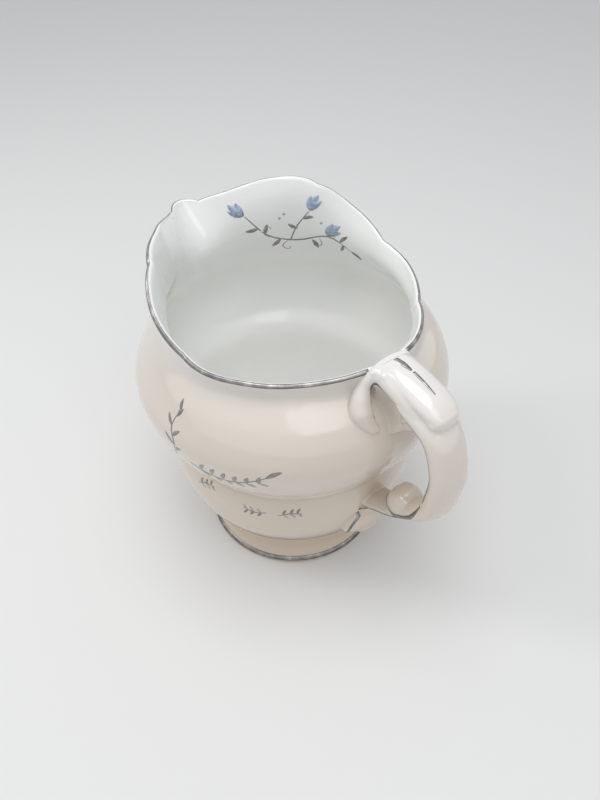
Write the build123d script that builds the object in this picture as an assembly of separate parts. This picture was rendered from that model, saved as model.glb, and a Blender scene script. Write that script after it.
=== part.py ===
from build123d import *
import os
from math import pi, sin, cos, radians

# Footed china cream jug.  Frame: origin at the centre of the plane the foot rests on,
# +Z up, +X towards the spout, the handle towards -X, mirror plane XZ.  Millimetres.

# ---- driving dimensions -------------------------------------------------
FOOT_R = 27.0            # radius of the foot's resting edge
FOOT_RING = 3.4          # width of the ring the jug stands on
FOOT_RECESS = 5.0        # depth of the hollow under the foot
COVE_R = 23.6            # narrowest radius between foot and body
COVE_Z = 9.5
WAIST_R = 31.7           # lower edge of the small bulge
WAIST_Z = 19.6
BULGE_R = 36.4           # the small bulge's greatest radius
CREASE_R = 35.3          # groove between the small bulge and the bowl
CREASE_Z = 43.6
BOWL_R = 43.0            # the bowl's greatest radius
BOWL_Z = 63.0
SHOULDER_Z = 71.5
WALL = 2.5               # wall of the casting
LIP_WALL = 1.9           # wall at the lip
FLOOR_Z = 11.5           # inside floor

SPOUT_TURN = 6.0         # the spout stands this far off the handle's line, degrees
# mouth: stations round from the spout (0 deg) to the back of the lip (180 deg)
MOUTH_DEG = [0, 15, 35, 55, 75, 95, 120, 150, 180]
LIP_R = [47.4, 39.6, 34.6, 35.7, 36.9, 36.9, 34.6, 34.6, 36.2]
LIP_Z = [91.9, 94.8, 98.8, 98.3, 90.1, 84.4, 82.4, 83.2, 84.8]
NECK_R = [39.6, 37.2, 33.6, 34.2, 35.3, 35.3, 33.5, 33.4, 34.2]
NECK_Z = [78.6, 80.8, 86.2, 85.4, 81.2, 78.6, 77.6, 77.8, 78.6]
SHOULDER_R = [40.6, 40.2, 39.8, 39.6, 39.7, 39.6, 39.3, 39.2, 39.2]

LOBE_DEG = [6, 57, 91, 136]    # notches of the scalloped lip, each side
LOBE_OUT = 0.9                 # how far the lip swells between notches
LOBE_FADE = 16.0               # height over which the lobes die away downwards
NOTCH_DIP = 0.7                # how far the lip's edge drops at a notch

LINE_T = 0.12            # thickness of the fired metal lines
LINE_W = 1.0             # width of the lip line

# handle, in its own plane: u = distance from the jug's axis, z = height
STRAP = [(36.0, 80.6), (40.5, 80.6), (45.4, 79.4), (49.2, 77.8), (52.7, 75.6), (55.6, 71.3), (57.3, 65.8),
         (57.5, 60.0), (56.9, 54.8), (55.0, 50.2), (51.8, 46.6), (48.0, 42.9), (43.6, 39.2), (38.8, 36.6),
         (33.0, 35.2)]
STRAP_W = [11.0, 11.4, 11.6, 11.4, 11.0, 10.8, 10.8, 10.8, 10.6, 10.2, 9.6, 8.8, 8.2, 8.4, 9.6]
STRAP_T = [6.0, 6.4, 6.6, 6.8, 6.8, 6.8, 6.8, 6.9, 6.7, 6.0, 5.4, 5.0, 4.8, 4.8, 5.6]
TONGUE = [(32.0, 83.6), (36.5, 84.0), (41.5, 83.8), (46.0, 82.8), (50.4, 81.6), (53.6, 80.0)]
TONGUE_W = [10.0, 9.6, 9.6, 9.8, 9.6, 8.0]
TONGUE_T = [4.2, 4.6, 4.8, 5.0, 4.8, 4.0]
BALL_C, BALL_R, BALL_W = (46.7, 44.3), 4.2, 9.0
FOOTSCROLL_C, FOOTSCROLL_R, FOOTSCROLL_W = (32.6, 22.0), 3.8, 8.0
BRACKET_C, BRACKET_R, BRACKET_W = (40.2, 72.0), 4.6, 14.0
BRACKET_WEB = 8.4
LINK = [(36.8, 36.2), (34.8, 31.8), (33.4, 27.0), (32.6, 22.0)]
LINK_W = [8.4, 8.2, 7.6, 7.0]
LINK_T = [4.8, 5.0, 5.0, 5.0]


TUCK_Z = CREASE_Z - 1.8  # the bowl's form starts a little inside the small bulge


# ---- helpers -------------------------------------------------------------
def hermite(xs, ys, x, flat_ends=False):
    """Smooth curve through the stations (xs, ys)."""
    n = len(xs)
    i = 0
    while i < n - 2 and x > xs[i + 1]:
        i += 1

    def slope(k):
        if k == 0 or k == n - 1:
            if flat_ends:
                return 0.0
            a, b = (0, 1) if k == 0 else (n - 2, n - 1)
            return (ys[b] - ys[a]) / (xs[b] - xs[a])
        h0, h1 = xs[k] - xs[k - 1], xs[k + 1] - xs[k]
        d0, d1 = (ys[k] - ys[k - 1]) / h0, (ys[k + 1] - ys[k]) / h1
        return (d0 * h1 + d1 * h0) / (h0 + h1)

    h = xs[i + 1] - xs[i]
    t = (x - xs[i]) / h
    m0, m1 = slope(i) * h, slope(i + 1) * h
    t2, t3 = t * t, t * t * t
    return ((2 * t3 - 3 * t2 + 1) * ys[i] + (t3 - 2 * t2 + t) * m0
            + (-2 * t3 + 3 * t2) * ys[i + 1] + (t3 - t2) * m1)


def lobe(deg):
    """0 at a notch of the lip, 1 midway between two notches."""
    marks = [-LOBE_DEG[0]] + LOBE_DEG + [360 - LOBE_DEG[-1]]
    for a, b in zip(marks, marks[1:]):
        if a <= deg <= b:
            return sin(pi * (deg - a) / (b - a)) ** 0.8
    return 0.0


def wall_radius(deg, z):
    """Outside radius of the bowl at a height, before the wall is taken off."""
    lz = hermite(MOUTH_DEG, LIP_Z, deg, True)
    lr = hermite(MOUTH_DEG, LIP_R, deg, True)
    nr = hermite(MOUTH_DEG, NECK_R, deg, True)
    nz = hermite(MOUTH_DEG, NECK_Z, deg, True)
    sr = hermite(MOUTH_DEG, SHOULDER_R, deg, True)
    zs = [TUCK_Z, CREASE_Z, 45.8, 49.5, 55.5, BOWL_Z, SHOULDER_Z, nz, lz, lz + 9.0]
    rs = [CREASE_R - 1.1, CREASE_R + 0.25, 36.5, 39.3, 41.9, BOWL_R, sr, nr, lr, lr + 5.0]
    if z <= lz + 9.0:
        r = hermite(zs, rs, z)
    else:
        r = lr + 5.0 + (z - lz - 9.0) * 0.3
    k = min(1.0, max(0.0, (z - (lz - LOBE_FADE)) / LOBE_FADE))
    return r + LOBE_OUT * (lobe(deg) - 0.6) * k * k


def wall_at(deg, z):
    lz = hermite(MOUTH_DEG, LIP_Z, deg, True)
    k = min(1.0, max(0.0, (z - (lz - 14.0)) / 14.0))
    return WALL + (LIP_WALL - WALL) * k


N_RING = 36
LEVELS = [TUCK_Z, CREASE_Z, 46.0, 50.0, 56.0, 63.0, 69.0, 74.0, 78.0, 82.0,
          87.0, 93.0, 99.0, 106.0]


def ring(z, inset, sink=0.0):
    pts = []
    for i in range(N_RING):
        a = 180.0 + 360.0 * i / N_RING
        d = a % 360.0
        d = 360.0 - d if d > 180.0 else d
        r = wall_radius(d, z) - (wall_at(d, z) if inset is None else -inset)
        pts.append((r * cos(radians(a)), r * sin(radians(a)), z + sink))
    return Wire([Edge.make_spline([Vector(*p) for p in pts], periodic=True)])


def bowl_loft(grow):
    """Outside of the bowl, grown by a little; None gives the inside of the wall."""
    return Rot(0, 0, SPOUT_TURN) * Solid.make_loft([ring(z, grow) for z in LEVELS])


def lip_height(x, drop):
    xs, zs = [], []
    for d, r, z in zip(MOUTH_DEG, LIP_R, LIP_Z):
        xs.append(-r * cos(radians(d)))
        zs.append(z)
    return hermite(xs, zs, -x) + drop


def lip_profile(drop, low):
    """Everything under the lip's edge line, as a slab across the jug."""
    marks = [70.0]
    marks += [hermite(MOUTH_DEG, LIP_R, d, True) * cos(radians(d)) for d in LOBE_DEG]
    marks += [-60.0]
    edges = []
    for a, b in zip(marks, marks[1:]):
        pts = []
        for i in range(9):
            t = i / 8.0
            x = a + (b - a) * t
            ends_open = (a == 70.0, b == -60.0)
            if ends_open[0]:
                s = 1.0 if t < 0.55 else cos((t - 0.55) / 0.45 * pi / 2)
            elif ends_open[1]:
                s = 1.0 if t > 0.45 else sin(t / 0.45 * pi / 2)
            else:
                s = sin(pi * t) ** 0.8 if 0 < t < 1 else 0.0
            xc = max(min(x, LIP_R[0] + 1.0), -LIP_R[-1] - 1.0)
            pts.append((x, lip_height(xc, drop) - NOTCH_DIP * (1 - s)))
        edges.append(Spline(*[Vector(p[0], 0, p[1]) for p in pts]))
    first, last = edges[0] @ 0, edges[-1] @ 1
    edges.append(Line(last, Vector(-60.0, 0, low)))
    edges.append(Line(Vector(-60.0, 0, low), Vector(70.0, 0, low)))
    edges.append(Line(Vector(70.0, 0, low), first))
    face = make_face(Wire(edges).edges())
    return Rot(0, 0, SPOUT_TURN) * extrude(face, amount=70, dir=(0, 1, 0), both=True)


def turned(points):
    """Solid of revolution from (r, z) stations given as spline runs and straight runs."""
    lines = []
    for run in points:
        vs = [Vector(r, 0, z) for r, z in run]
        if len(vs) == 2:
            lines.append(Line(vs[0], vs[1]))
        else:
            lines.append(Spline(*vs))
    start, end = lines[0] @ 0, lines[-1] @ 1
    lines.append(Line(end, Vector(0, 0, end.Z)))
    if start.X > 1e-6:
        lines.append(Line(Vector(0, 0, start.Z), start))
    lines.append(Line(Vector(0, 0, end.Z), Vector(0, 0, start.Z)))
    return revolve(make_face(Wire(lines).edges()), Axis.Z)


def solid_of(shape):
    """The one solid of a result, largest first."""
    s = shape.solids()
    return s.sort_by(SortBy.VOLUME)[-1]


# ---- body ---------------------------------------------------------------
def lower_outside(grow=0.0):
    g = grow
    return turned([
        [(FOOT_R + g, 0.0), (FOOT_R + g, 1.0)],
        [(FOOT_R + g, 1.0), (FOOT_R - 0.5 + g, 2.3), (FOOT_R - 1.9 + g, 4.0), (COVE_R + 0.5 + g, 6.4),
         (COVE_R + g, COVE_Z), (COVE_R + 0.9 + g, 12.8), (COVE_R + 3.6 + g, 16.2), (WAIST_R - 1.4 + g, 18.3)],
        [(WAIST_R - 1.4 + g, 18.3), (WAIST_R + g, WAIST_Z)],
        [(WAIST_R + g, WAIST_Z), (33.2 + g, 22.6), (35.0 + g, 27.0), (BULGE_R - 0.2 + g, 32.6),
         (BULGE_R + g, 37.6), (CREASE_R + 0.35 + g, 42.4), (CREASE_R + g, CREASE_Z)],
    ])


def lower_inside():
    w = WALL
    return turned([
        [(0.0, FLOOR_Z), (12.0, FLOOR_Z)],
        [(12.0, FLOOR_Z), (19.5, 13.2), (25.6, 17.4), (29.8, 22.2), (34.7 - w - 0.2, 27.8),
         (BULGE_R - w - 0.2, 33.2), (BULGE_R - w, 38.4), (CREASE_R - w, CREASE_Z)],
    ])


hollow_profile = Wire([
    Line((0, 0, -1), (FOOT_R - FOOT_RING, 0, -1)),
    Line((FOOT_R - FOOT_RING, 0, -1), (FOOT_R - FOOT_RING, 0, 0.8)),
    Spline((FOOT_R - FOOT_RING, 0, 0.8), (FOOT_R - FOOT_RING - 2.6, 0, 3.4),
           (13.0, 0, FOOT_RECESS - 0.3), (0, 0, FOOT_RECESS)),
    Line((0, 0, FOOT_RECESS), (0, 0, -1)),
])
foot_hollow = revolve(make_face(hollow_profile.edges()), Axis.Z)

outer_up = bowl_loft(0.0)
inner_up = bowl_loft(None)
bowl_trimmed = outer_up & lip_profile(0.0, 20.0)
body = solid_of(lower_outside() + bowl_trimmed)
body = solid_of(body - lower_inside() - inner_up - foot_hollow)


# ---- handle -------------------------------------------------------------
def along(stations, widths, thicks, grow=0.0):
    """Loft of oval sections set square to a line in the handle's plane."""
    faces = []
    n = len(stations)
    for k, ((u, z), w, t) in enumerate(zip(stations, widths, thicks)):
        a = stations[max(k - 1, 0)]
        b = stations[min(k + 1, n - 1)]
        du, dz = b[0] - a[0], b[1] - a[1]
        pl = Plane(origin=(-u, 0, z), x_dir=(0, 1, 0), z_dir=(-du, 0, dz))
        faces.append(pl * Ellipse(w / 2 + grow, t / 2 + grow))
    return loft(faces)


def bun(centre, radius, width, grow=0.0):
    """Round scroll end: a short drum across the handle with domed faces."""
    u, z = centre
    r, h = radius + grow, width / 2 + grow
    rim = 0.62 * h
    prof = Wire([
        Line((0, 0, -h), (0, 0, h)),
        Spline((0, 0, h), (0.55 * r, 0, h * 0.93), (0.88 * r, 0, h * 0.72), (r, 0, rim * 0.5),
               tangents=[(1, 0, 0), (0, 0, -1)]),
        Line((r, 0, rim * 0.5), (r, 0, -rim * 0.5)),
        Spline((r, 0, -rim * 0.5), (0.88 * r, 0, -h * 0.72), (0.55 * r, 0, -h * 0.93), (0, 0, -h),
               tangents=[(0, 0, -1), (-1, 0, 0)]),
    ])
    d = revolve(make_face(prof.edges()), Axis.Z)
    return Pos(-u, 0, z) * Rot(90, 0, 0) * d


def tip_dome(grow=0.0):
    u, z = TONGUE[-1]
    a = TONGUE[-2]
    du, dz = u - a[0], z - a[1]
    pl = Plane(origin=(-u, 0, z), x_dir=(0, 1, 0), z_dir=(-du, 0, dz))
    egg = scale(Sphere(1.0), by=(TONGUE_W[-1] / 2 + grow, TONGUE_T[-1] / 2 + grow, 1.7 + grow))
    return pl * egg


def bracket_web(grow=0.0):
    """Concave web that ties the upper scroll to the underside of the strap."""
    u, z = BRACKET_C
    pts = Wire([
        Line((-34.0, 0, 82.0), (-44.0, 0, 79.4)),
        Line((-44.0, 0, 79.4), (-48.2 - grow, 0, 75.4)),
        Spline((-48.2 - grow, 0, 75.4), (-46.4, 0, 75.2 - grow), (-u - 3.2, 0, 73.4 - grow),
               (-u - 1.6, 0, 69.6 - grow)),
        Line((-u - 1.6, 0, 69.6 - grow), (-34.0, 0, 69.6 - grow)),
        Line((-34.0, 0, 69.6 - grow), (-34.0, 0, 82.0)),
    ])
    return extrude(make_face(pts.edges()), amount=BRACKET_WEB / 2 + grow, dir=(0, 1, 0), both=True)


strap = along(STRAP, STRAP_W, STRAP_T)
tongue = along(TONGUE, TONGUE_W, TONGUE_T)
ball = bun(BALL_C, BALL_R, BALL_W)
foot_scroll = bun(FOOTSCROLL_C, FOOTSCROLL_R, FOOTSCROLL_W)
top_scroll = bun(BRACKET_C, BRACKET_R, BRACKET_W)
link = along(LINK, LINK_W, LINK_T)

handle = strap + tongue
handle = handle + tip_dome()
handle = handle + ball
handle = handle + bracket_web()
handle = handle + top_scroll
handle = handle + link
handle = handle + foot_scroll
# the casting taken as filled, so that the handle's ends seat on its wall
handle = solid_of(handle) - lower_outside()
handle = solid_of(handle - outer_up)


# ---- fired metal lines ----------------------------------------------------
def pieces(shapes, smallest=0.02):
    """All solids of some shapes, slivers dropped."""
    return [s for shape in shapes for s in shape.solids() if s.volume > smallest]


def plates(near, far, outline):
    """A plate on each side of the handle's plane, its outline given as (u, z) points."""
    rim = Polyline(*[(-u, near, z) for u, z in outline], close=True)
    plate = extrude(make_face(rim.edges()), amount=far - near, dir=(0, 1, 0))
    return [plate, mirror(plate, about=Plane.XZ)]


lip_band = bowl_loft(LINE_T) & lip_profile(LINE_T, 60.0)
lip_band = lip_band - lip_profile(-LINE_W, 50.0) - inner_up - bowl_trimmed - tongue
rim_lining = pieces([lip_band])

skin = lower_outside(LINE_T) - lower_outside()
foot_lining = pieces([skin & Pos(0, 0, 2.1) * Box(80, 80, 1.3)])
waist_lining = pieces([skin & Pos(0, 0, WAIST_Z + 0.3) * Box(80, 80, 0.9) - foot_scroll - link])

crest = along(TONGUE, TONGUE_W, TONGUE_T, LINE_T) - tongue - strap
thumb_lining = pieces([crest & Pos(-38.8, 0, 90.0) * Box(5.8, 1.0, 12.0),
                       crest & Pos(-45.8, 0, 89.2) * Box(6.4, 0.8, 12.0)])

# the strap's line runs along its inner edge, the arm's along its lower edge
STRAP_ZONE = [(39.4, 80.8)] + STRAP[2:11] + [(49.6, 49.0), (52.4, 56.0), (52.0, 64.0), (48.6, 71.6), (44.0, 75.0),
                                              (39.4, 76.2)]
ARM_ZONE = STRAP[10:14] + [(38.8, 30.0), (46.0, 33.0), (55.0, 41.0)]
BALL_ZONE = [(41.0, 38.0), (52.0, 38.0), (52.0, 43.6), (46.8, 44.9), (43.4, 48.6), (41.0, 48.6)]
strap_skin = along(STRAP, STRAP_W, STRAP_T, LINE_T) - strap
strap_lining = pieces([strap_skin & p - ball - top_scroll - tongue for p in plates(4.2, 4.9, STRAP_ZONE)])
arm_lining = pieces([strap_skin & p - ball - link for p in plates(2.6, 3.3, ARM_ZONE)])
ball_skin = bun(BALL_C, BALL_R, BALL_W, LINE_T) - ball - strap
scroll_lining = pieces([ball_skin & p for p in plates(3.8, 4.5, BALL_ZONE)])

NODES = {"body": [body], "handle": [handle], "rim_lining": rim_lining, "foot_lining": foot_lining,
         "waist_lining": waist_lining, "handle_thumb_lining": thumb_lining,
         "handle_strap_lining": strap_lining, "handle_arm_lining": arm_lining,
         "handle_scroll_lining": scroll_lining}
os.makedirs("parts", exist_ok=True)
for name, solids in NODES.items():
    shape = solids[0] if len(solids) == 1 else Compound(children=solids)
    export_step(shape, "parts/" + name + ".step")
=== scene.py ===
"""Looks of the footed china cream jug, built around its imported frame."""
import math

import bmesh
import bpy
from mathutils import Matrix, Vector
from mathutils.bvhtree import BVHTree


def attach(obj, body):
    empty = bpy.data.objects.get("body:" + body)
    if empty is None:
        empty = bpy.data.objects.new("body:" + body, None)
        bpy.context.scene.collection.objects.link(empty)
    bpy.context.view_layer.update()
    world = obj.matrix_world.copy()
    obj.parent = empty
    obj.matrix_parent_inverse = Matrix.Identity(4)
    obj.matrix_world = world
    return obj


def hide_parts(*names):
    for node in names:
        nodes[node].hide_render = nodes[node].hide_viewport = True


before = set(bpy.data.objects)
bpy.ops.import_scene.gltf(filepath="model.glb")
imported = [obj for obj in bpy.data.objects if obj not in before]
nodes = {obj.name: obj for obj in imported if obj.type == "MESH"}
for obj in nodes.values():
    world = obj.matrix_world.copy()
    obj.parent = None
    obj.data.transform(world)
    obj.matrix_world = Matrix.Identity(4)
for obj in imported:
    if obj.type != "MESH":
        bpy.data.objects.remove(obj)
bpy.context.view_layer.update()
scene = bpy.context.scene
scene.view_settings.view_transform = "Standard"

MM = 0.001

# ---- camera --------------------------------------------------------------
CAMERA_REACH = 0.2334            # from the middle of the foot to the lens
CAMERA_HEIGHT = math.radians(52.09)
CAMERA_ROUND = math.radians(142.0)   # from +X, on the handle's side
LENS, SENSOR = 30.31, 36.0       # millimetres; the sensor's long side
LOOK_AT = Vector((0.00768, -0.00883, 0.034))


def place_camera():
    """The camera of the main view."""
    data = bpy.data.cameras.new("camera")
    data.sensor_width = SENSOR
    data.lens = LENS
    data.dof.use_dof = False
    data.clip_start = 0.005
    camera = bpy.data.objects.new("camera", data)
    scene.collection.objects.link(camera)
    flat = math.cos(CAMERA_HEIGHT)
    camera.location = CAMERA_REACH * Vector((
        flat * math.cos(CAMERA_ROUND), flat * math.sin(CAMERA_ROUND), math.sin(CAMERA_HEIGHT)))
    camera.rotation_mode = "QUATERNION"
    camera.rotation_quaternion = (LOOK_AT - camera.location).to_track_quat("-Z", "Y")
    scene.camera = camera


# ---- materials -----------------------------------------------------------
def node_material(name):
    """An empty node material: its node tree, its shader and a helper that adds nodes."""
    material = bpy.data.materials.new(name)
    material.use_nodes = True
    tree = material.node_tree
    shader = tree.nodes["Principled BSDF"]

    def add(kind, **values):
        node = tree.nodes.new(kind)
        for key, value in values.items():
            setattr(node, key, value)
        return node

    return material, tree, shader, add


def ramp_node(add, tree, source, stops):
    """A colour ramp fed by a socket."""
    ramp = add("ShaderNodeValToRGB")
    while len(ramp.color_ramp.elements) < len(stops):
        ramp.color_ramp.elements.new(0.5)
    for element, (place, colour) in zip(ramp.color_ramp.elements, stops):
        element.position = place
        element.color = (*colour, 1.0)
    tree.links.new(source, ramp.inputs["Fac"])
    return ramp


def noise_node(add, tree, scale, detail):
    """Noise fixed to the piece, in metres."""
    place = add("ShaderNodeTexCoord")
    noise = add("ShaderNodeTexNoise")
    noise.inputs["Scale"].default_value = scale
    noise.inputs["Detail"].default_value = detail
    tree.links.new(place.outputs["Object"], noise.inputs["Vector"])
    return noise


def painted_light_china_material(name, stops):
    """Clear glaze over bone china, its colour changing with height from the foot up: painted light and
    shade along the height, set by the stops.
    """
    material, tree, shader, add = node_material(name)
    links = tree.links
    cloud = noise_node(add, tree, 26.0, 3.0)
    place = add("ShaderNodeTexCoord")
    parts = add("ShaderNodeSeparateXYZ")
    links.new(place.outputs["Object"], parts.inputs[0])
    height = add("ShaderNodeMapRange")
    height.inputs["From Min"].default_value = 0.0
    height.inputs["From Max"].default_value = LIGHT_AND_SHADE_HEIGHT
    links.new(parts.outputs["Z"], height.inputs["Value"])
    # the cloud shifts the height a little, so that no band of the painted light and shade runs level
    blend = add("ShaderNodeMath", operation="MULTIPLY_ADD")
    blend.inputs[1].default_value = 0.12
    links.new(cloud.outputs["Fac"], blend.inputs[0])
    links.new(height.outputs["Result"], blend.inputs[2])
    tint = ramp_node(add, tree, blend.outputs["Value"], stops)
    links.new(tint.outputs["Color"], shader.inputs["Base Color"])
    shader.inputs["Roughness"].default_value = 0.16
    shader.inputs["IOR"].default_value = 1.52
    shader.inputs["Coat Weight"].default_value = 0.6
    shader.inputs["Coat Roughness"].default_value = 0.04
    shader.inputs["Coat IOR"].default_value = 1.5
    ripple = noise_node(add, tree, 90.0, 2.0)
    bump = add("ShaderNodeBump")
    bump.inputs["Strength"].default_value = 0.05
    bump.inputs["Distance"].default_value = 0.0006
    links.new(ripple.outputs["Fac"], bump.inputs["Height"])
    links.new(bump.outputs["Normal"], shader.inputs["Normal"])
    links.new(bump.outputs["Normal"], shader.inputs["Coat Normal"])
    return material


def painted_dark_metal_material():
    """Fired platinum line, brushed on by hand and a little worn; its colour is set far darker than
    platinum's own, a painted reflection of a dark surround.
    """
    material, tree, shader, add = node_material("platinum_line_painted_dark")
    wear = noise_node(add, tree, 420.0, 4.0)
    # dark stops: painted reflection of a dark surround; the noise that moves between them is wear
    tint = ramp_node(add, tree, wear.outputs["Fac"], [
        (0.3, (0.17, 0.168, 0.165)),
        (0.55, (0.27, 0.265, 0.26)),
        (0.75, (0.42, 0.415, 0.405)),
    ])
    tree.links.new(tint.outputs["Color"], shader.inputs["Base Color"])
    rough = add("ShaderNodeMapRange")
    rough.inputs["To Min"].default_value = 0.16
    rough.inputs["To Max"].default_value = 0.34
    tree.links.new(wear.outputs["Fac"], rough.inputs["Value"])
    tree.links.new(rough.outputs["Result"], shader.inputs["Roughness"])
    shader.inputs["Metallic"].default_value = 1.0
    return material


def enamel_material(name, dark, light):
    """Printed enamel under the glaze, with the fine unevenness of a transfer."""
    material, tree, shader, add = node_material(name)
    grain = noise_node(add, tree, 900.0, 3.0)
    tint = ramp_node(add, tree, grain.outputs["Fac"], [(0.35, dark), (0.65, light)])
    tree.links.new(tint.outputs["Color"], shader.inputs["Base Color"])
    shader.inputs["Roughness"].default_value = 0.2
    shader.inputs["Coat Weight"].default_value = 0.5
    shader.inputs["Coat Roughness"].default_value = 0.05
    return material


LIGHT_AND_SHADE_HEIGHT = 0.1        # metres, over which the painted light and shade below run
# outside: painted shade, the colour darker and warmer towards the foot and white only at the top,
# standing in for warm shade on the body
china_painted_shade = painted_light_china_material("glazed_china_painted_shade", [
    (0.0, (0.605, 0.49, 0.38)),
    (0.32, (0.65, 0.555, 0.46)),
    (0.80, (0.715, 0.645, 0.575)),
    (0.95, (0.81, 0.805, 0.80)),
])
# inside: painted light, a brighter and cooler copy of the glaze than the outside, brightest low in the
# bowl, lifting the shade there
china_inside_painted_light = painted_light_china_material("glazed_china_inside_painted_light", [
    (0.0, (0.955, 0.95, 0.925)),
    (0.4, (0.945, 0.945, 0.92)),
    (0.75, (0.90, 0.905, 0.885)),
    (1.0, (0.85, 0.86, 0.85)),
])
platinum_painted_dark = painted_dark_metal_material()
ENAMELS = {
    "blue": enamel_material("blue_enamel", (0.27, 0.34, 0.49), (0.40, 0.48, 0.62)),
    "grey": enamel_material("grey_enamel", (0.17, 0.16, 0.155), (0.29, 0.275, 0.265)),
    "pale": enamel_material("pale_grey_enamel", (0.32, 0.305, 0.295), (0.44, 0.425, 0.41)),
}


def dress(obj, material):
    obj.data.materials.clear()
    obj.data.materials.append(material)


for node_name, node in nodes.items():
    dress(node, platinum_painted_dark if node_name.endswith("lining") else china_painted_shade)


# ---- the jug's form, as in the CAD source, with its soft cast edges ---------
FOOT_UNDER = [(0.0, 5.0), (7.0, 4.95), (13.0, 4.7), (17.5, 4.25), (21.0, 3.4), (22.9, 1.9), (23.5, 0.9),
              (23.9, 0.28), (24.6, 0.04), (26.0, 0.04), (26.75, 0.28), (27.0, 0.9)]
FOOT_SIDE = [(27.0, 0.9), (26.95, 1.4), (26.5, 2.3), (25.1, 4.0), (24.1, 6.4), (23.6, 9.5), (24.5, 12.8),
             (27.2, 16.2), (30.2, 18.3), (31.3, 19.1)]
BULGE_SIDE = [(31.3, 19.1), (31.75, 19.75), (33.2, 22.6), (35.0, 27.0), (36.2, 32.6), (36.4, 37.6),
              (35.75, 42.0), (35.3, 43.0), (35.2, 43.35)]
INSIDE_FROM = 50.5       # the inside follows the outside down to here
FLOOR_SIDE = [(35.75, 48.2), (34.45, 46.0), (33.75, 43.6), (33.5, 40.6), (33.35, 37.0), (32.85, 32.6),
              (31.55, 27.4), (29.1, 22.2), (25.0, 17.6), (19.0, 13.9), (11.9, 12.0), (5.0, 11.5),
              (0.0, 11.5)]
CREASE_BEAD = [(35.3, 43.5), (35.62, 43.7), (35.86, 43.95), (35.98, 44.25), (36.0, 44.6), (36.08, 45.0)]
BEAD_TOP_R, BEAD_ROWS = 36.05, 3     # the bead's top runs into the bowl over these rows
BOWL_SIDE = [(34.2, 41.8), (35.55, 43.6), (36.5, 45.8), (39.3, 49.5), (41.9, 55.5), (43.0, 63.0)]
SHOULDER_Z = 71.5
# degrees from the spout, and the mouth's measures there
MOUTH_DEG = [0, 15, 35, 55, 75, 95, 120, 150, 180]
LIP_R = [47.0, 39.6, 34.6, 35.7, 36.9, 36.9, 34.6, 34.6, 36.2]
LIP_Z = [91.9, 94.8, 98.5, 98.1, 90.1, 84.4, 82.4, 83.2, 84.8]
NECK_R = [39.2, 37.2, 33.6, 34.2, 35.3, 35.3, 33.5, 33.4, 34.2]
NECK_Z = [78.6, 80.8, 86.2, 85.4, 81.2, 78.6, 77.6, 77.8, 78.6]
SHOULDER_R = [40.6, 40.2, 39.8, 39.6, 39.7, 39.6, 39.3, 39.2, 39.2]
LOBE_DEG = [6, 57, 91, 136]
LOBE_OUT, LOBE_FADE, NOTCH_DIP = 1.05, 16.0, 0.95
SPOUT_TURN = 6.0
LOBE_SHAPE, LOBE_LEVEL = 0.8, 0.6    # fullness of a lobe; the part of it that leaves the lip where it is
NECK_FROM = 70.0
PAST_LIP = (5.0, 9.0)    # out and up: where the flare of the lip aims
WALL, LIP_WALL, LIP_TAPER = 2.5, 1.5, 14.0
ROUND_STEPS, BOWL_ROWS, NECK_ROWS, LIP_ROWS = 320, 28, 28, 8
UNDER_STEPS, SIDE_STEPS, INSIDE_STEPS = 2, 4, 3


def hermite(xs, ys, x, flat_ends=False):
    """Smooth curve through the stations (xs, ys)."""
    n = len(xs)
    i = 0
    while i < n - 2 and x > xs[i + 1]:
        i += 1

    def slope(k):
        if k == 0 or k == n - 1:
            if flat_ends:
                return 0.0
            a, b = (0, 1) if k == 0 else (n - 2, n - 1)
            return (ys[b] - ys[a]) / (xs[b] - xs[a])
        h0, h1 = xs[k] - xs[k - 1], xs[k + 1] - xs[k]
        d0, d1 = (ys[k] - ys[k - 1]) / h0, (ys[k + 1] - ys[k]) / h1
        return (d0 * h1 + d1 * h0) / (h0 + h1)

    h = xs[i + 1] - xs[i]
    t = (x - xs[i]) / h
    m0, m1 = slope(i) * h, slope(i + 1) * h
    t2, t3 = t * t, t * t * t
    return ((2 * t3 - 3 * t2 + 1) * ys[i] + (t3 - 2 * t2 + t) * m0
            + (-2 * t3 + 3 * t2) * ys[i + 1] + (t3 - t2) * m1)


def lobe(deg):
    """0 at a notch of the lip, 1 midway between two notches."""
    marks = [-LOBE_DEG[0]] + LOBE_DEG + [360 - LOBE_DEG[-1]]
    for a, b in zip(marks, marks[1:]):
        if a <= deg <= b:
            return max(0.0, math.sin(math.pi * (deg - a) / (b - a))) ** LOBE_SHAPE
    return 0.0


class Mouth:
    """The bowl's wall at one place round the jug."""

    def __init__(self, deg):
        self.lobe = lobe(deg)
        self.lip_z = hermite(MOUTH_DEG, LIP_Z, deg, True)
        self.lip_r = hermite(MOUTH_DEG, LIP_R, deg, True)
        neck_r = hermite(MOUTH_DEG, NECK_R, deg, True)
        neck_z = hermite(MOUTH_DEG, NECK_Z, deg, True)
        shoulder = hermite(MOUTH_DEG, SHOULDER_R, deg, True)
        self.zs = [z for r, z in BOWL_SIDE] + [SHOULDER_Z, neck_z, self.lip_z, self.lip_z + PAST_LIP[1]]
        self.rs = [r for r, z in BOWL_SIDE] + [shoulder, neck_r, self.lip_r, self.lip_r + PAST_LIP[0]]
        self.top = self.lip_z - NOTCH_DIP * (1.0 - self.lobe)

    def outside(self, z):
        k = min(1.0, max(0.0, (z - (self.lip_z - LOBE_FADE)) / LOBE_FADE))
        return hermite(self.zs, self.rs, z) + LOBE_OUT * (self.lobe - LOBE_LEVEL) * k * k

    def wall(self, z):
        k = min(1.0, max(0.0, (z - (self.lip_z - LIP_TAPER)) / LIP_TAPER))
        return WALL + (LIP_WALL - WALL) * k


def run_through(points, steps):
    """A smooth run of (r, z) points, its first point left out."""
    return [tuple(p) for p in smooth_path(points, steps)][1:]


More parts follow.
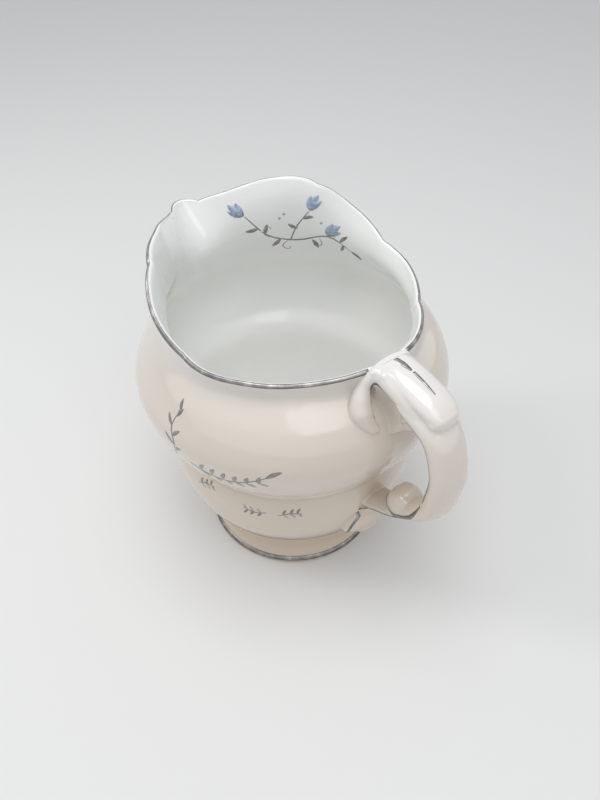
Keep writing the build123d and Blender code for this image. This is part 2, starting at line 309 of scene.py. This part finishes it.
def body_profile(deg):
    """The whole section of the body at one place round, from under the foot to the inside floor."""
    mouth = Mouth(deg)
    rows = [FOOT_UNDER[0]] + run_through(FOOT_UNDER, UNDER_STEPS) + run_through(FOOT_SIDE, SIDE_STEPS)
    rows += run_through(BULGE_SIDE, SIDE_STEPS) + CREASE_BEAD
    low_z = CREASE_BEAD[-1][1]
    for k in range(1, BOWL_ROWS + 1):
        z = low_z + (NECK_FROM - low_z) * k / BOWL_ROWS
        blend = min(1.0, k / BEAD_ROWS)
        rows.append((blend * mouth.outside(z) + (1.0 - blend) * max(mouth.outside(z), BEAD_TOP_R), z))
    round_r = 0.5 * LIP_WALL
    edge_z = mouth.top - round_r
    for k in range(1, NECK_ROWS + 1):
        z = NECK_FROM + (edge_z - NECK_FROM) * k / NECK_ROWS
        rows.append((mouth.outside(z), z))
    centre = mouth.outside(edge_z) - round_r
    for k in range(1, LIP_ROWS):
        a = math.pi * k / LIP_ROWS
        rows.append((centre + round_r * math.cos(a), edge_z + round_r * math.sin(a)))
    for k in range(NECK_ROWS, -1, -1):
        z = NECK_FROM + (edge_z - NECK_FROM) * k / NECK_ROWS
        rows.append((mouth.outside(z) - mouth.wall(z), z))
    for k in range(BOWL_ROWS - 1, 0, -1):
        z = INSIDE_FROM + (NECK_FROM - INSIDE_FROM) * k / BOWL_ROWS
        rows.append((mouth.outside(z) - WALL, z))
    floor_side = [(mouth.outside(INSIDE_FROM) - WALL, INSIDE_FROM)] + FLOOR_SIDE
    return rows + run_through(floor_side, INSIDE_STEPS)


def smooth_path(points, steps, scale=1.0):
    """Catmull-Rom run through points, scaled."""
    run = []
    ends = [points[0]] + list(points) + [points[-1]]
    for k in range(len(points) - 1):
        a, b, c, d = (Vector(p) * scale for p in ends[k:k + 4])
        for i in range(steps):
            t = i / steps
            run.append(0.5 * (2 * b + (c - a) * t + (2 * a - 5 * b + 4 * c - d) * t * t
                              + (3 * b - a - 3 * c + d) * t * t * t))
    run.append(Vector(points[-1]) * scale)
    return run


def show(name, data, material, replaced=()):
    """A smooth mesh shown as a piece of the jug."""
    data.shade_smooth()
    piece = bpy.data.objects.new(name, data)
    scene.collection.objects.link(piece)
    dress(piece, material)
    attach(piece, "root")
    if replaced:
        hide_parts(*replaced)
    return piece


def add_piece(name, verts, faces, material, replaced=()):
    """A new piece of the jug from points and faces."""
    data = bpy.data.meshes.new(name)
    data.from_pydata(verts, [], faces)
    data.validate()
    mesh = bmesh.new()
    mesh.from_mesh(data)
    bmesh.ops.recalc_face_normals(mesh, faces=mesh.faces)
    mesh.to_mesh(data)
    mesh.free()
    return show(name, data, material, replaced)


def body_sections():
    """Every section round the jug, as frame points."""
    sections = []
    for i in range(ROUND_STEPS):
        turn = 360.0 * i / ROUND_STEPS
        deg = (turn - SPOUT_TURN) % 360.0
        deg = 360.0 - deg if deg > 180.0 else deg
        c, s = math.cos(math.radians(turn)), math.sin(math.radians(turn))
        sections.append([Vector((r * c, r * s, z)) * MM for r, z in body_profile(deg)])
    return sections


def build_body(sections):
    """The casting: rows of points round the jug, closed at the middle of the floor and of the foot."""
    n, rows = ROUND_STEPS, len(sections[0])
    verts = [sections[0][0], sections[0][-1]]
    for k in range(1, rows - 1):
        verts += [section[k] for section in sections]
    faces, inner = [], []
    last = 2 + (rows - 3) * n
    top = max(range(rows), key=lambda k: sections[0][k].z)
    for i in range(n):
        j = (i + 1) % n
        faces.append((0, 2 + j, 2 + i))
        faces.append((1, last + i, last + j))
        inner += [0, 1]
        for k in range(rows - 3):
            a = 2 + k * n
            faces.append((a + i, a + j, a + n + j, a + n + i))
            inner.append(int(k + 1 >= top))
    body = add_piece("jug_body", verts, faces, china_painted_shade, ["body"])
    # the inside faces take the inside copy of the glaze, with its painted light
    body.data.materials.append(china_inside_painted_light)
    body.data.polygons.foreach_set("material_index", inner)
    return body


LINE_OUT = 0.05 * MM     # a fired line stands this far out of the glaze
LINE_IN = 0.08 * MM      # and reaches this far in


def ring_film(name, sections, rows, replaced, gap_deg=0.0):
    """A fired line over some rows of the body, all the way round but for a gap at the handle."""
    n = ROUND_STEPS
    verts, faces, index = [], [], {}
    for i in range(n):
        if abs(360.0 * i / n - 180.0) < gap_deg:
            continue
        section = sections[i]
        for k in rows:
            along = section[k + 1] - section[k - 1]
            across = sections[(i + 1) % n][k] - sections[i - 1][k]
            normal = across.cross(along).normalized()
            index[i, k] = len(verts)
            verts += [section[k] + normal * LINE_OUT, section[k] - normal * LINE_IN]
    for i in range(n):
        j = (i + 1) % n
        if (i, rows[0]) not in index or (j, rows[0]) not in index:
            continue
        for a, b in zip(rows, rows[1:]):
            p, q, r, t = index[i, a], index[j, a], index[j, b], index[i, b]
            faces += [(p, q, r, t), (p + 1, t + 1, r + 1, q + 1)]
        for k in (rows[0], rows[-1]):
            p, q = index[i, k], index[j, k]
            faces.append((p, q, q + 1, p + 1))
    for i in range(n):
        here = (i, rows[0]) in index
        for j in ((i + 1) % n, (i - 1) % n):
            if here and (j, rows[0]) not in index:
                for a, b in zip(rows, rows[1:]):
                    p, q = index[i, a], index[i, b]
                    faces.append((p, q, q + 1, p + 1))
    return add_piece(name, verts, faces, platinum_painted_dark, replaced)


sections = body_sections()
jug_body = build_body(sections)
first_side = (len(FOOT_UNDER) - 1) * UNDER_STEPS      # the row where the foot's side starts
lip_top = max(range(len(sections[0])), key=lambda k: sections[0][k].z)


def rows_between(low_z, high_z):
    """Rows of the outside whose height at the handle lies in a range, in millimetres."""
    section = sections[ROUND_STEPS // 2]
    return [k for k in range(first_side, lip_top) if low_z <= section[k].z / MM <= high_z]


ring_film("lip_line", sections, range(lip_top - LIP_ROWS // 2, lip_top + 1), ["rim_lining"], 8.5)
ring_film("foot_line", sections, rows_between(1.2, 2.9), ["foot_lining"])
ring_film("waist_line", sections, rows_between(18.7, 20.3), ["waist_lining"], 6.5)

# ---- handle --------------------------------------------------------------
# in the handle's own plane: distance from the axis, height; all in millimetres
ARM = [(51.8, 46.6), (48.0, 42.9), (43.6, 39.2), (38.8, 36.6)]     # the centre line under the ball
BALL = (46.7, 44.3)
VOXEL = 0.32 * MM
SLAB = (0.14, 1.7)       # the wall slab lies this deep under the body's skin, in millimetres
SOFTEN = 9               # smoothing passes, which give the cast fillets
MERGE = 1e-7             # points this near each other, in metres, are one
EGG_RINGS, EGG_PARTS, SWELL_STEPS = 14, 24, 5


def wall_patch(lumps, half_deg, low_z, high_z):
    """A slab just under the body's skin, so that the softened handle flows into the wall."""
    verts, faces = lumps
    middle = ROUND_STEPS // 2
    reach = int(half_deg * ROUND_STEPS / 360)
    rows = rows_between(low_z, high_z)
    n, m, first = 2 * reach + 1, len(rows), len(verts)
    for i in range(middle - reach, middle + reach + 1):
        for k in rows:
            along = sections[i][k + 1] - sections[i][k - 1]
            normal = (sections[i + 1][k] - sections[i - 1][k]).cross(along).normalized()
            verts += [sections[i][k] - normal * depth * MM for depth in SLAB]

    def at(i, k, side):
        return first + 2 * (i * m + k) + side

    for i in range(n - 1):
        for side in (0, 1):
            faces += [(at(i, k, side), at(i + 1, k, side), at(i + 1, k + 1, side), at(i, k + 1, side))
                      for k in range(m - 1)]
        faces += [(at(i, k, 0), at(i + 1, k, 0), at(i + 1, k, 1), at(i, k, 1)) for k in (0, m - 1)]
    for i in (0, n - 1):
        faces += [(at(i, k, 0), at(i, k + 1, 0), at(i, k + 1, 1), at(i, k, 1)) for k in range(m - 1)]


def egg(lumps, centre, radii, lean=0.0):
    """A closed rounded lump, in millimetres, leaning in the handle's own plane."""
    verts, faces = lumps
    c, s = math.cos(math.radians(lean)), math.sin(math.radians(lean))
    first, rings, parts = len(verts), EGG_RINGS, EGG_PARTS
    ball = [(0.0, 0.0, 1.0), (0.0, 0.0, -1.0)]
    for k in range(1, rings):
        up, out = math.cos(math.pi * k / rings), math.sin(math.pi * k / rings)
        ball += [(out * math.cos(math.tau * i / parts), out * math.sin(math.tau * i / parts), up)
                 for i in range(parts)]
    for x, y, z in ball:
        x, y, z = x * radii[0], y * radii[1], z * radii[2]
        verts.append(Vector((centre[0] + x * c + z * s, centre[1] + y, centre[2] - x * s + z * c)) * MM)
    for i in range(parts):
        j = (i + 1) % parts
        low = first + 2 + (rings - 2) * parts
        faces += [(first, first + 2 + i, first + 2 + j), (first + 1, low + j, low + i)]
        for k in range(rings - 2):
            a = first + 2 + k * parts
            faces.append((a + i, a + parts + i, a + parts + j, a + j))


def swell(lumps, stations):
    """A soft run of lumps along stations of x, y, z and radius."""
    places = smooth_path([p[:3] for p in stations], SWELL_STEPS, MM)
    for k, place in enumerate(places):
        i = min(k // SWELL_STEPS, len(stations) - 2)
        radius = stations[i][3] + (stations[i + 1][3] - stations[i][3]) * (k / SWELL_STEPS - i)
        egg(lumps, place / MM, (radius, radius, radius))


def cast(name, lumps, start, carve=None, soften=0):
    """Runs closed lumps, and a mesh if one is given, into one skin, then carves and softens it."""
    data = bpy.data.meshes.new(name + "_lumps")
    data.from_pydata(lumps[0], [], lumps[1])
    mesh = bmesh.new()
    mesh.from_mesh(data)
    bpy.data.meshes.remove(data)
    if start:
        mesh.from_mesh(start)
    bmesh.ops.remove_doubles(mesh, verts=mesh.verts, dist=MERGE)
    bmesh.ops.recalc_face_normals(mesh, faces=mesh.faces)
    data = bpy.data.meshes.new(name)
    mesh.to_mesh(data)
    mesh.free()
    rough = bpy.data.objects.new(name, data)
    scene.collection.objects.link(rough)
    remesh = rough.modifiers.new("cast", "REMESH")
    remesh.mode = "VOXEL"
    remesh.voxel_size = VOXEL
    if carve:
        cut = rough.modifiers.new("carve", "BOOLEAN")
        cut.operation = "DIFFERENCE"
        cut.solver = "EXACT"
        cut.object = carve
    if soften:
        smooth = rough.modifiers.new("soften", "SMOOTH")
        smooth.factor = 0.5
        smooth.iterations = soften
    bpy.context.view_layer.update()
    made = bpy.data.meshes.new_from_object(rough.evaluated_get(bpy.context.evaluated_depsgraph_get()))
    bpy.data.objects.remove(rough)
    made.name = name
    return made


def build_handle():
    """The cast handle, its joints run together and its edges softened as under a glaze."""
    lumps = ([], [])
    for side in (-1, 1):
        egg(lumps, (-41.0, side * 8.3, 73.6), (6.3, 6.1, 10.4), 15)     # the scoop under the strap
        egg(lumps, (-45.9, side * 7.3, 69.8), (4.6, 6.2, 5.4))
    scoop = bpy.data.objects.new("scoop", cast("scoop", lumps, None))
    scene.collection.objects.link(scoop)
    carved = cast("handle_carved", ([], []), nodes["handle"].data, scoop)
    bpy.data.objects.remove(scoop)
    lumps = ([], [])
    wall_patch(lumps, 18, 63.0, 83.2)
    wall_patch(lumps, 18, 17.5, 43.0)
    egg(lumps, (-35.9, 0, 84.0), (2.0, 6.2, 1.5))       # the handle's crest over the lip
    egg(lumps, (-38.6, 0, 84.0), (3.4, 5.4, 2.1))
    egg(lumps, (-52.9, 0, 79.6), (2.6, 4.5, 2.3))       # the rounded tip of the thumb rest
    egg(lumps, (-BALL[0], 0, BALL[1]), (4.4, 4.7, 4.4))   # the ball of the lower scroll
    egg(lumps, (-33.9, 0, 26.2), (3.6, 9.4, 6.9), -17)  # the lowest scroll, spread on the wall
    egg(lumps, (-43.3, 0, 72.6), (3.4, 2.3, 4.2), 25)   # the web's lower end
    for side in (-1, 1):
        # the upper scroll, from under the lip down to its swelling on the neck
        swell(lumps, [(-35.4, side * 5.2, 82.6, 1.5), (-34.6, side * 6.6, 79.8, 1.7),
                      (-35.2, side * 7.9, 76.6, 2.5), (-36.4, side * 8.6, 73.8, 2.9),
                      (-38.4, side * 8.0, 71.2, 1.9), (-39.9, side * 6.6, 69.6, 0.9)])
        # the groove between the thumb rest and the strap, filled by the glaze
        swell(lumps, [(-37.6, side * 2.9, 82.8, 2.7), (-42.0, side * 2.9, 81.9, 2.9),
                      (-46.4, side * 2.8, 80.2, 2.8), (-50.2, side * 2.5, 78.0, 2.4)])
    made = cast("jug_handle", lumps, carved, None, SOFTEN)
    bpy.data.meshes.remove(carved)
    return show("jug_handle", made, china_painted_shade, ["handle"])


def surface_tree(obj):
    """Search tree over a piece's mesh, which lies in the frame already."""
    mesh = bmesh.new()
    mesh.from_mesh(obj.data)
    tree = BVHTree.FromBMesh(mesh)
    mesh.free()
    return tree


def brushed_line(verts, faces, tree, points, widths, steps=6):
    """One closed fired line brushed along points near the handle's skin."""
    run = [tree.find_nearest(p) for p in smooth_path(points, steps, MM)]
    n = len(run)
    first = len(verts)
    for k, (place, normal, _, _) in enumerate(run):
        ahead = run[min(k + 1, n - 1)][0] - run[max(k - 1, 0)][0]
        side = normal.cross(ahead).normalized()
        t = k / (n - 1) * (len(widths) - 1)
        i = min(int(t), len(widths) - 2)
        half = 0.5 * MM * (widths[i] + (widths[i + 1] - widths[i]) * (t - i))
        for s in (-1.0, 0.0, 1.0):
            spot, out, _, _ = tree.find_nearest(place + side * (half * s))
            verts += [spot + out * LINE_OUT, spot - out * LINE_IN]
    for k in range(n - 1):
        a = first + 6 * k
        for j in (0, 2):
            faces.append((a + j, a + j + 2, a + j + 8, a + j + 6))
            faces.append((a + j + 1, a + j + 7, a + j + 9, a + j + 3))
        faces.append((a, a + 6, a + 7, a + 1))
        faces.append((a + 4, a + 5, a + 11, a + 10))
    for a in (first, first + 6 * (n - 1)):
        faces.append((a, a + 2, a + 3, a + 1))
        faces.append((a + 2, a + 4, a + 5, a + 3))


def beside_arm(y, offset):
    """Points beside the arm's centre line, set to its upper (+) or lower (-) side."""
    points = []
    for k in range(1, len(ARM)):
        (u0, z0), (u1, z1) = ARM[k - 1], ARM[min(k + 1, len(ARM) - 1)]
        du, dz = u1 - u0, z1 - z0
        size = math.hypot(du, dz)
        u, z = ARM[k]
        points.append((-(u + offset * dz / size), y, z - offset * du / size))
    return points


def handle_lines(tree):
    """Every fired line on the handle, both sides alike."""
    verts, faces = [], []
    # given a little above the crest, from where they drop to the nearest glaze
    first_dash = [(-36.6, 0.2, 88), (-39.8, 0.1, 88), (-42.6, 0, 88)]
    second_dash = [(-43.2, -0.1, 88), (-46.8, 0, 87), (-50.4, 0.1, 86.5)]
    brushed_line(verts, faces, tree, first_dash, [1.1, 1.5, 0.6])
    brushed_line(verts, faces, tree, second_dash, [0.8, 0.8, 0.3])
    add_piece("thumb_line", verts, faces, platinum_painted_dark, ["handle_thumb_lining"])
    verts, faces = [], []
    for side in (-1, 1):
        rim = [(-38.4, side * 6.4, 72.0), (-37.0, side * 6.2, 74.4), (-36.3, side * 6.0, 77.4),
               (-36.3, side * 5.8, 80.2), (-37.6, side * 5.8, 81.4), (-40.4, side * 5.9, 80.0),
               (-43.6, side * 6.1, 78.0), (-47.0, side * 6.2, 76.3), (-50.0, side * 6.1, 74.3),
               (-52.5, side * 5.9, 70.2), (-53.8, side * 5.6, 65.0), (-54.2, side * 5.3, 60.0),
               (-53.7, side * 5.0, 55.4)]
        brushed_line(verts, faces, tree, rim, [0.35, 0.7, 0.9, 1.05, 1.05, 1.0, 0.9])
    add_piece("strap_line", verts, faces, platinum_painted_dark, ["handle_strap_lining"])
    verts, faces = [], []
    for side in (-1, 1):
        lower_edge = beside_arm(side * 5.2, -1.5)
        curl = [(-38.0, side * 6.6, 32.4), (-37.8, side * 8.2, 30.2), (-37.0, side * 8.9, 27.6),
                (-35.8, side * 8.9, 24.4), (-34.0, side * 8.2, 21.0)]
        brushed_line(verts, faces, tree, lower_edge + curl, [0.6, 0.85, 0.75, 0.75, 0.5])
    add_piece("arm_line", verts, faces, platinum_painted_dark, ["handle_arm_lining"])
    verts, faces = [], []
    for side in (-1, 1):
        ring = [(-42.4, side * 3.6, 46.4), (-42.6, side * 4.8, 44.2), (-44.0, side * 5.6, 42.4),
                (-46.8, side * 5.9, 42.0), (-49.6, side * 5.9, 43.4), (-52.0, side * 5.9, 46.4),
                (-53.3, side * 5.3, 49.8), (-53.6, side * 4.9, 53.4)]
        brushed_line(verts, faces, tree, ring, [0.6, 1.15, 1.3, 1.2, 0.8])
    add_piece("ball_line", verts, faces, platinum_painted_dark, ["handle_scroll_lining"])


handle_lines(surface_tree(build_handle()))

# ---- fired decoration ----------------------------------------------------
WELL_OUTSIDE = 0.09      # metres from the axis, farther out than the body reaches


class Wall:
    """A patch of the body's wall that strokes are laid on, in millimetres round and up."""

    def __init__(self, tree, round_deg, height, radius, inside):
        self.tree, self.inside = tree, inside
        self.round, self.height, self.radius = math.radians(round_deg), height, radius

    def at(self, across, up):
        """Point and outward normal of the glaze, some way across and up from the patch's middle."""
        turn = self.round + (-across if self.inside else across) / self.radius
        outward = Vector((math.cos(turn), math.sin(turn), 0.0))
        level = Vector((0.0, 0.0, (self.height + up) * MM))
        if self.inside:
            hit = self.tree.ray_cast(level, outward)
        else:
            hit = self.tree.ray_cast(level + outward * WELL_OUTSIDE, -outward)
        normal = hit[1]
        if (normal.dot(outward) > 0.0) == self.inside:
            normal = -normal
        return hit[0], normal


FILM_OUT = 0.05 * MM     # the film stands this far out of the glaze
FILM_IN = 0.06 * MM      # and reaches this far in


def lay_blade(mesh, wall, path, widths):
    """One closed film along a path, its widths given from end to end."""
    top, low = [], []
    n = len(path)
    for k, point in enumerate(path):
        ahead = path[min(k + 1, n - 1)] - path[max(k - 1, 0)]
        side = Vector((-ahead.y, ahead.x)).normalized()
        t = k / (n - 1) * (len(widths) - 1)
        i = min(int(t), len(widths) - 2)
        half = 0.5 * (widths[i] + (widths[i + 1] - widths[i]) * (t - i))
        row_top, row_low = [], []
        for s in (-1.0, 0.0, 1.0):
            place, normal = wall.at(*(point + side * (half * s)))
            row_top.append(mesh.verts.new(place + normal * FILM_OUT))
            row_low.append(mesh.verts.new(place - normal * FILM_IN))
        top.append(row_top)
        low.append(row_low)
    for k in range(n - 1):
        for j in range(2):
            mesh.faces.new((top[k][j], top[k][j + 1], top[k + 1][j + 1], top[k + 1][j]))
            mesh.faces.new((low[k][j], low[k + 1][j], low[k + 1][j + 1], low[k][j + 1]))
        mesh.faces.new((top[k][0], top[k + 1][0], low[k + 1][0], low[k][0]))
        mesh.faces.new((top[k][2], low[k][2], low[k + 1][2], top[k + 1][2]))
    for k in (0, n - 1):
        for j in range(2):
            mesh.faces.new((top[k][j], top[k][j + 1], low[k][j + 1], low[k][j]))


def turned_points(points, place, turn_deg, size):
    """2-D points turned, scaled and moved."""
    c, s = math.cos(math.radians(turn_deg)), math.sin(math.radians(turn_deg))
    return [(place[0] + size * (x * c - y * s), place[1] + size * (x * s + y * c)) for x, y in points]


class Spray:
    """Strokes of each enamel gathered for one place on the body."""

    def __init__(self, name, wall):
        self.name, self.wall = name, wall
        self.meshes = {}

    def stroke(self, enamel, points, widths, steps=5):
        mesh = self.meshes.setdefault(enamel, bmesh.new())
        lay_blade(mesh, self.wall, smooth_path(points, steps), widths)

    def leaf(self, enamel, place, turn_deg, length, width):
        shape = turned_points([(0, 0), (0.5, 0.06), (1, 0)], place, turn_deg, length)
        self.stroke(enamel, shape, [0.06, 0.75 * width, width, 0.7 * width, 0.05])

    def bud(self, place, turn_deg, size):
        """A closed bell-shaped bud: three petals in a grey cup."""
        for turn, long, wide in ((-24, 0.92, 0.42), (24, 0.92, 0.42), (0, 1.08, 0.5)):
            self.leaf("blue", place, turn_deg + turn, size * long, size * wide)
        for turn in (-38, 38):
            self.leaf("grey", place, turn_deg + turn, size * 0.42, size * 0.16)

    def berry(self, place, size):
        self.leaf("blue", (place[0] - size / 2, place[1]), 0, size, size)

    def tendril(self, place, turn_deg, size, hand=1):
        curl = [(0, 0), (0.45, 0.28 * hand), (0.82, 0.16 * hand),
                (0.86, -0.12 * hand), (0.66, -0.16 * hand)]
        self.stroke("pale", turned_points(curl, place, turn_deg, size), [0.1, 0.32, 0.3, 0.22, 0.34])

    def finish(self):
        for enamel, mesh in self.meshes.items():
            bmesh.ops.recalc_face_normals(mesh, faces=mesh.faces)
            data = bpy.data.meshes.new(self.name + "_" + enamel)
            mesh.to_mesh(data)
            mesh.free()
            show(data.name, data, ENAMELS[enamel])


body_tree = surface_tree(jug_body)

# inside the far wall, below the lip
inner = Spray("inner_spray", Wall(body_tree, -43.0, 82.5, 32.5, True))
stem = [(-16, 5.5), (-9, -1.5), (-1, -3.5), (8, -1.0), (15, -5.5)]
inner.stroke("grey", stem, [0.25, 0.5, 0.55, 0.45, 0.2])
inner.stroke("grey", [(-3, -3.2), (-1.2, 2.2), (2.4, 7.0)], [0.4, 0.4, 0.25])
inner.bud((2.6, 7.2), 62, 4.6)
inner.bud((-16.2, 5.7), 138, 4.2)
inner.bud((7.6, -0.6), 42, 4.8)
for place, turn, long, wide in (((-12.5, 1.8), 196, 3.8, 1.3), ((-10.5, -0.4), 82, 3.6, 1.3),
                                ((-6.0, -2.8), 236, 4.2, 1.4), ((-0.9, 1.4), 150, 3.4, 1.2),
                                ((0.6, 4.6), 12, 3.2, 1.1), ((3.2, -3.0), 292, 4.0, 1.4),
                                ((11.4, -2.6), 48, 3.6, 1.2), ((14.6, -5.2), 322, 3.8, 1.2),
                                ((12.4, -3.4), 250, 3.0, 1.0)):
    inner.leaf("grey", place, turn, long, wide)
for place, turn, size, hand in (((-8.0, -2.2), 118, 5.6, 1), ((-3.4, -3.4), 262, 5.0, -1),
                                ((5.4, -2.2), 250, 4.4, 1), ((9.6, -1.4), 96, 4.8, -1)):
    inner.tendril(place, turn, size, hand)
for place in ((-6.4, 5.0), (-5.0, 6.3), (6.0, 3.4)):
    inner.berry(place, 0.9)
inner.finish()

# outside, low on the bowl beside the handle
outer = Spray("outer_spray", Wall(body_tree, 121.0, 57.5, 41.5, False))
outer.stroke("grey", [(-12, -1.0), (-5, -2.6), (2, -1.2), (9, 3.4)], [0.25, 0.5, 0.5, 0.3])
for k in range(6):
    at = (-9.0 + 3.2 * k, -2.0 + (0.5 * max(0, k - 2)) ** 2)
    outer.leaf("grey", at, 62 + 4 * k, 4.2 - 0.2 * k, 1.25)
    outer.leaf("pale", at, -48 + 6 * k, 3.4 - 0.2 * k, 1.05)
outer.leaf("grey", (8.8, 3.2), 34, 4.6, 1.4)
outer.finish()

twig = Spray("outer_twig", Wall(body_tree, 98.5, 63.5, 42.0, False))
twig.stroke("grey", [(-1.0, -8.0), (0.4, -2.0), (-0.6, 3.0), (1.2, 7.6)], [0.22, 0.42, 0.36, 0.15])
for place, turn, long in (((-0.2, -5.2), 40, 3.6), ((0.3, -2.6), 140, 3.8), ((0.1, 0.2), 48, 3.4),
                          ((-0.5, 2.8), 128, 3.2), ((0.5, 5.6), 60, 2.8), ((1.1, 7.2), 96, 2.8)):
    twig.leaf("grey", place, turn, long, 1.05)
twig.finish()

low = Spray("bulge_twigs", Wall(body_tree, 122.0, 38.6, 36.2, False))
for across, up, turn in ((-13.5, 1.0, 20), (2.0, -0.6, 178), (11.5, -0.8, 8)):
    path = turned_points([(-3.2, 0), (0, 0.6), (3.2, 0)], (across, up), turn, 1.0)
    low.stroke("grey", path, [0.15, 0.36, 0.15])
    for step in (-1.8, 0.2, 2.0):
        spot = turned_points([(step, 0.3)], (across, up), turn, 1.0)[0]
        low.leaf("grey", spot, turn + 58, 2.1, 0.8)
        low.leaf("pale", spot, turn - 52, 1.9, 0.7)
low.finish()

# ---- floor and light -----------------------------------------------------
FLOOR_COLOUR = (0.80, 0.80, 0.795)
FLOOR_REACH = 6.0        # metres each way


def lay_floor():
    """A plain pale floor, wide enough for every view."""
    data = bpy.data.meshes.new("floor")
    reach = FLOOR_REACH
    data.from_pydata([(-reach, -reach, 0), (reach, -reach, 0), (reach, reach, 0), (-reach, reach, 0)],
                     [], [(0, 1, 2, 3)])
    floor = bpy.data.objects.new("floor", data)
    scene.collection.objects.link(floor)
    material, _, shader, _ = node_material("floor")
    shader.inputs["Base Color"].default_value = (*FLOOR_COLOUR, 1.0)
    shader.inputs["Roughness"].default_value = 0.9
    shader.inputs["Specular IOR Level"].default_value = 0.1
    data.materials.append(material)


def lamp(name, place, aim, width, depth, watts, colour=(1.0, 1.0, 1.0)):
    """A soft box that faces a point on the jug."""
    data = bpy.data.lights.new(name, "AREA")
    data.shape = "RECTANGLE"
    data.size, data.size_y = width, depth
    data.energy = watts
    data.color = colour
    box = bpy.data.objects.new(name, data)
    scene.collection.objects.link(box)
    box.location = place
    box.rotation_mode = "QUATERNION"
    box.rotation_quaternion = (Vector(aim) - Vector(place)).to_track_quat("-Z", "Y")


def light_world(strength):
    """An even pale surround; seen directly, mirrored or through glaze it is plain white."""
    world = bpy.data.worlds.new("world")
    scene.world = world
    world.use_nodes = True
    tree = world.node_tree
    base = tree.nodes["Background"]
    base.inputs["Color"].default_value = (0.96, 0.98, 1.0, 1.0)
    base.inputs["Strength"].default_value = strength
    seen = tree.nodes.new("ShaderNodeBackground")
    seen.inputs["Color"].default_value = (1.0, 1.0, 1.0, 1.0)
    seen.inputs["Strength"].default_value = 1.0
    path = tree.nodes.new("ShaderNodeLightPath")
    either = tree.nodes.new("ShaderNodeMath")
    either.operation = "MAXIMUM"
    mix = tree.nodes.new("ShaderNodeMixShader")
    tree.links.new(path.outputs["Is Camera Ray"], either.inputs[0])
    tree.links.new(path.outputs["Is Transmission Ray"], either.inputs[1])
    mirrored = tree.nodes.new("ShaderNodeMath")
    mirrored.operation = "MAXIMUM"
    tree.links.new(either.outputs["Value"], mirrored.inputs[0])
    tree.links.new(path.outputs["Is Glossy Ray"], mirrored.inputs[1])
    tree.links.new(mirrored.outputs["Value"], mix.inputs["Fac"])
    tree.links.new(base.outputs["Background"], mix.inputs[1])
    tree.links.new(seen.outputs["Background"], mix.inputs[2])
    tree.links.new(mix.outputs["Shader"], tree.nodes["World Output"].inputs["Surface"])


place_camera()
lay_floor()
light_world(0.58)
lamp("above", (-0.02, 0.04, 0.62), (0.0, 0.0, 0.05), 0.34, 0.34, 1.05, (1.0, 1.0, 1.0))
lamp("window", (0.22, 0.30, 0.40), (0.0, 0.0, 0.05), 0.09, 0.32, 0.48, (1.0, 0.985, 0.96))
lamp("sky", (-0.30, 0.10, 0.40), (0.0, 0.0, 0.05), 0.22, 0.30, 0.28, (0.97, 0.985, 1.0))
